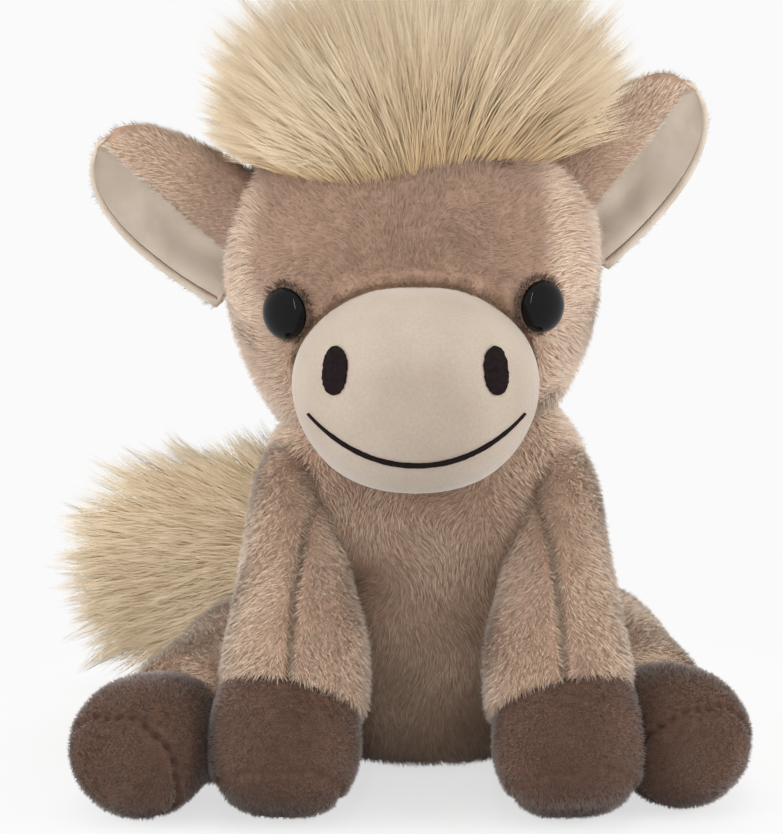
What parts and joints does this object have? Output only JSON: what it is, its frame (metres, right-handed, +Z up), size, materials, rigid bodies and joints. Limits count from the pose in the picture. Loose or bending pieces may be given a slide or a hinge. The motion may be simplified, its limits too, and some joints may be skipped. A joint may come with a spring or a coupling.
{
  "type": "plush horse",
  "caption": "Sitting stuffed pony with a stitched cream muzzle, shiny eyes, cupped ears, shaggy mane and tail, and soft legs ending in brown hooves.",
  "frame": {"origin": "middle of the flat spot under the seat, on the surface the toy sits on", "axes": "+Z up, -Y the way the pony faces, +X the pony's left"},
  "size_m": [0.1633, 0.1355, 0.1886],
  "materials": {
    "tan_plush": "brushed short-pile plush, matt, with a pinkish brown shadow between the tufts",
    "brown_plush": "very short speckled plush, matt",
    "cream_plush": "smooth short velour, matt",
    "ear_satin": "smooth lining cloth with a soft sheen",
    "blond_pile": "long shaggy pile with loose pointed locks",
    "dark_thread": "satin-stitch embroidery thread",
    "black_plastic": "polished black",
    "white_plastic": "moulded, hidden inside",
    "fibre": "loose white polyester filling, hidden inside",
    "pellet_cloth": "plain woven bag of pellets, hidden inside"
  },
  "bodies": {
    "torso": {"body_cover": "tan_plush", "seat_pellet_bag": "pellet_cloth", "body_filling": "fibre"},
    "head": {"head_cover": "tan_plush", "head_filling": "fibre", "muzzle_cover": "cream_plush", "nostril_right": "dark_thread", "nostril_left": "dark_thread", "smile_stitching": "dark_thread", "eye_right": "black_plastic", "eye_left": "black_plastic", "eye_washer_right": "white_plastic", "eye_washer_left": "white_plastic", "mane_tuft": "blond_pile", "mane_crest": "blond_pile"},
    "ear_right": {"ear_back_right": "tan_plush", "ear_lining_right": "ear_satin"},
    "ear_left": {"ear_back_left": "tan_plush", "ear_lining_left": "ear_satin"},
    "front_leg_right": {"front_leg_right_cover": "tan_plush", "front_leg_right_hoof": "brown_plush", "front_leg_right_sole": "brown_plush", "front_leg_right_filling": "fibre"},
    "front_leg_left": {"front_leg_left_cover": "tan_plush", "front_leg_left_hoof": "brown_plush", "front_leg_left_sole": "brown_plush", "front_leg_left_filling": "fibre"},
    "hind_leg_right": {"hind_leg_right_cover": "tan_plush", "hind_leg_right_hoof": "brown_plush", "hind_leg_right_sole": "brown_plush", "hind_leg_right_filling": "fibre"},
    "hind_leg_left": {"hind_leg_left_cover": "tan_plush", "hind_leg_left_hoof": "brown_plush", "hind_leg_left_sole": "brown_plush", "hind_leg_left_filling": "fibre"},
    "tail": {"tail_tuft": "blond_pile"}
  },
  "joints": [
    {"name": "neck_nod", "type": "hinge", "parent": "torso", "child": "head", "pos_m": [0, -0.018, 0.077], "axis": [1, 0, 0], "range_deg": [-10, 8], "stiffness_Nm_per_rad": 1},
    {"name": "ear_right_fold", "type": "hinge", "parent": "head", "child": "ear_right", "pos_m": [-0.04648, -0.01397, 0.12689], "axis": [0.495, 0.2079, 0.8437], "range_deg": [-12, 12], "stiffness_Nm_per_rad": 0.03},
    {"name": "ear_left_fold", "type": "hinge", "parent": "head", "child": "ear_left", "pos_m": [0.03707, -0.0142, 0.13513], "axis": [-0.6494, 0.2079, 0.7315], "range_deg": [-12, 12], "stiffness_Nm_per_rad": 0.03},
    {"name": "shoulder_right", "type": "hinge", "parent": "torso", "child": "front_leg_right", "pos_m": [-0.028, -0.03174, 0.06578], "axis": [-1, 0, 0], "range_deg": [0, 30], "stiffness_Nm_per_rad": 0.3},
    {"name": "shoulder_left", "type": "hinge", "parent": "torso", "child": "front_leg_left", "pos_m": [0.028, -0.03174, 0.06578], "axis": [-1, 0, 0], "range_deg": [0, 30], "stiffness_Nm_per_rad": 0.3},
    {"name": "hip_right", "type": "hinge", "parent": "torso", "child": "hind_leg_right", "pos_m": [-0.04, -0.012, 0.02], "axis": [0, 0, -1], "range_deg": [0, 20], "stiffness_Nm_per_rad": 0.3},
    {"name": "hip_left", "type": "hinge", "parent": "torso", "child": "hind_leg_left", "pos_m": [0.04, -0.001, 0.02], "axis": [0, 0, 1], "range_deg": [0, 20], "stiffness_Nm_per_rad": 0.3},
    {"name": "tail_sway", "type": "hinge", "parent": "torso", "child": "tail", "pos_m": [-0.01295, 0.02548, 0.042], "axis": [0, 0, 1], "range_deg": [-12, 12], "stiffness_Nm_per_rad": 0.05}
  ]
}
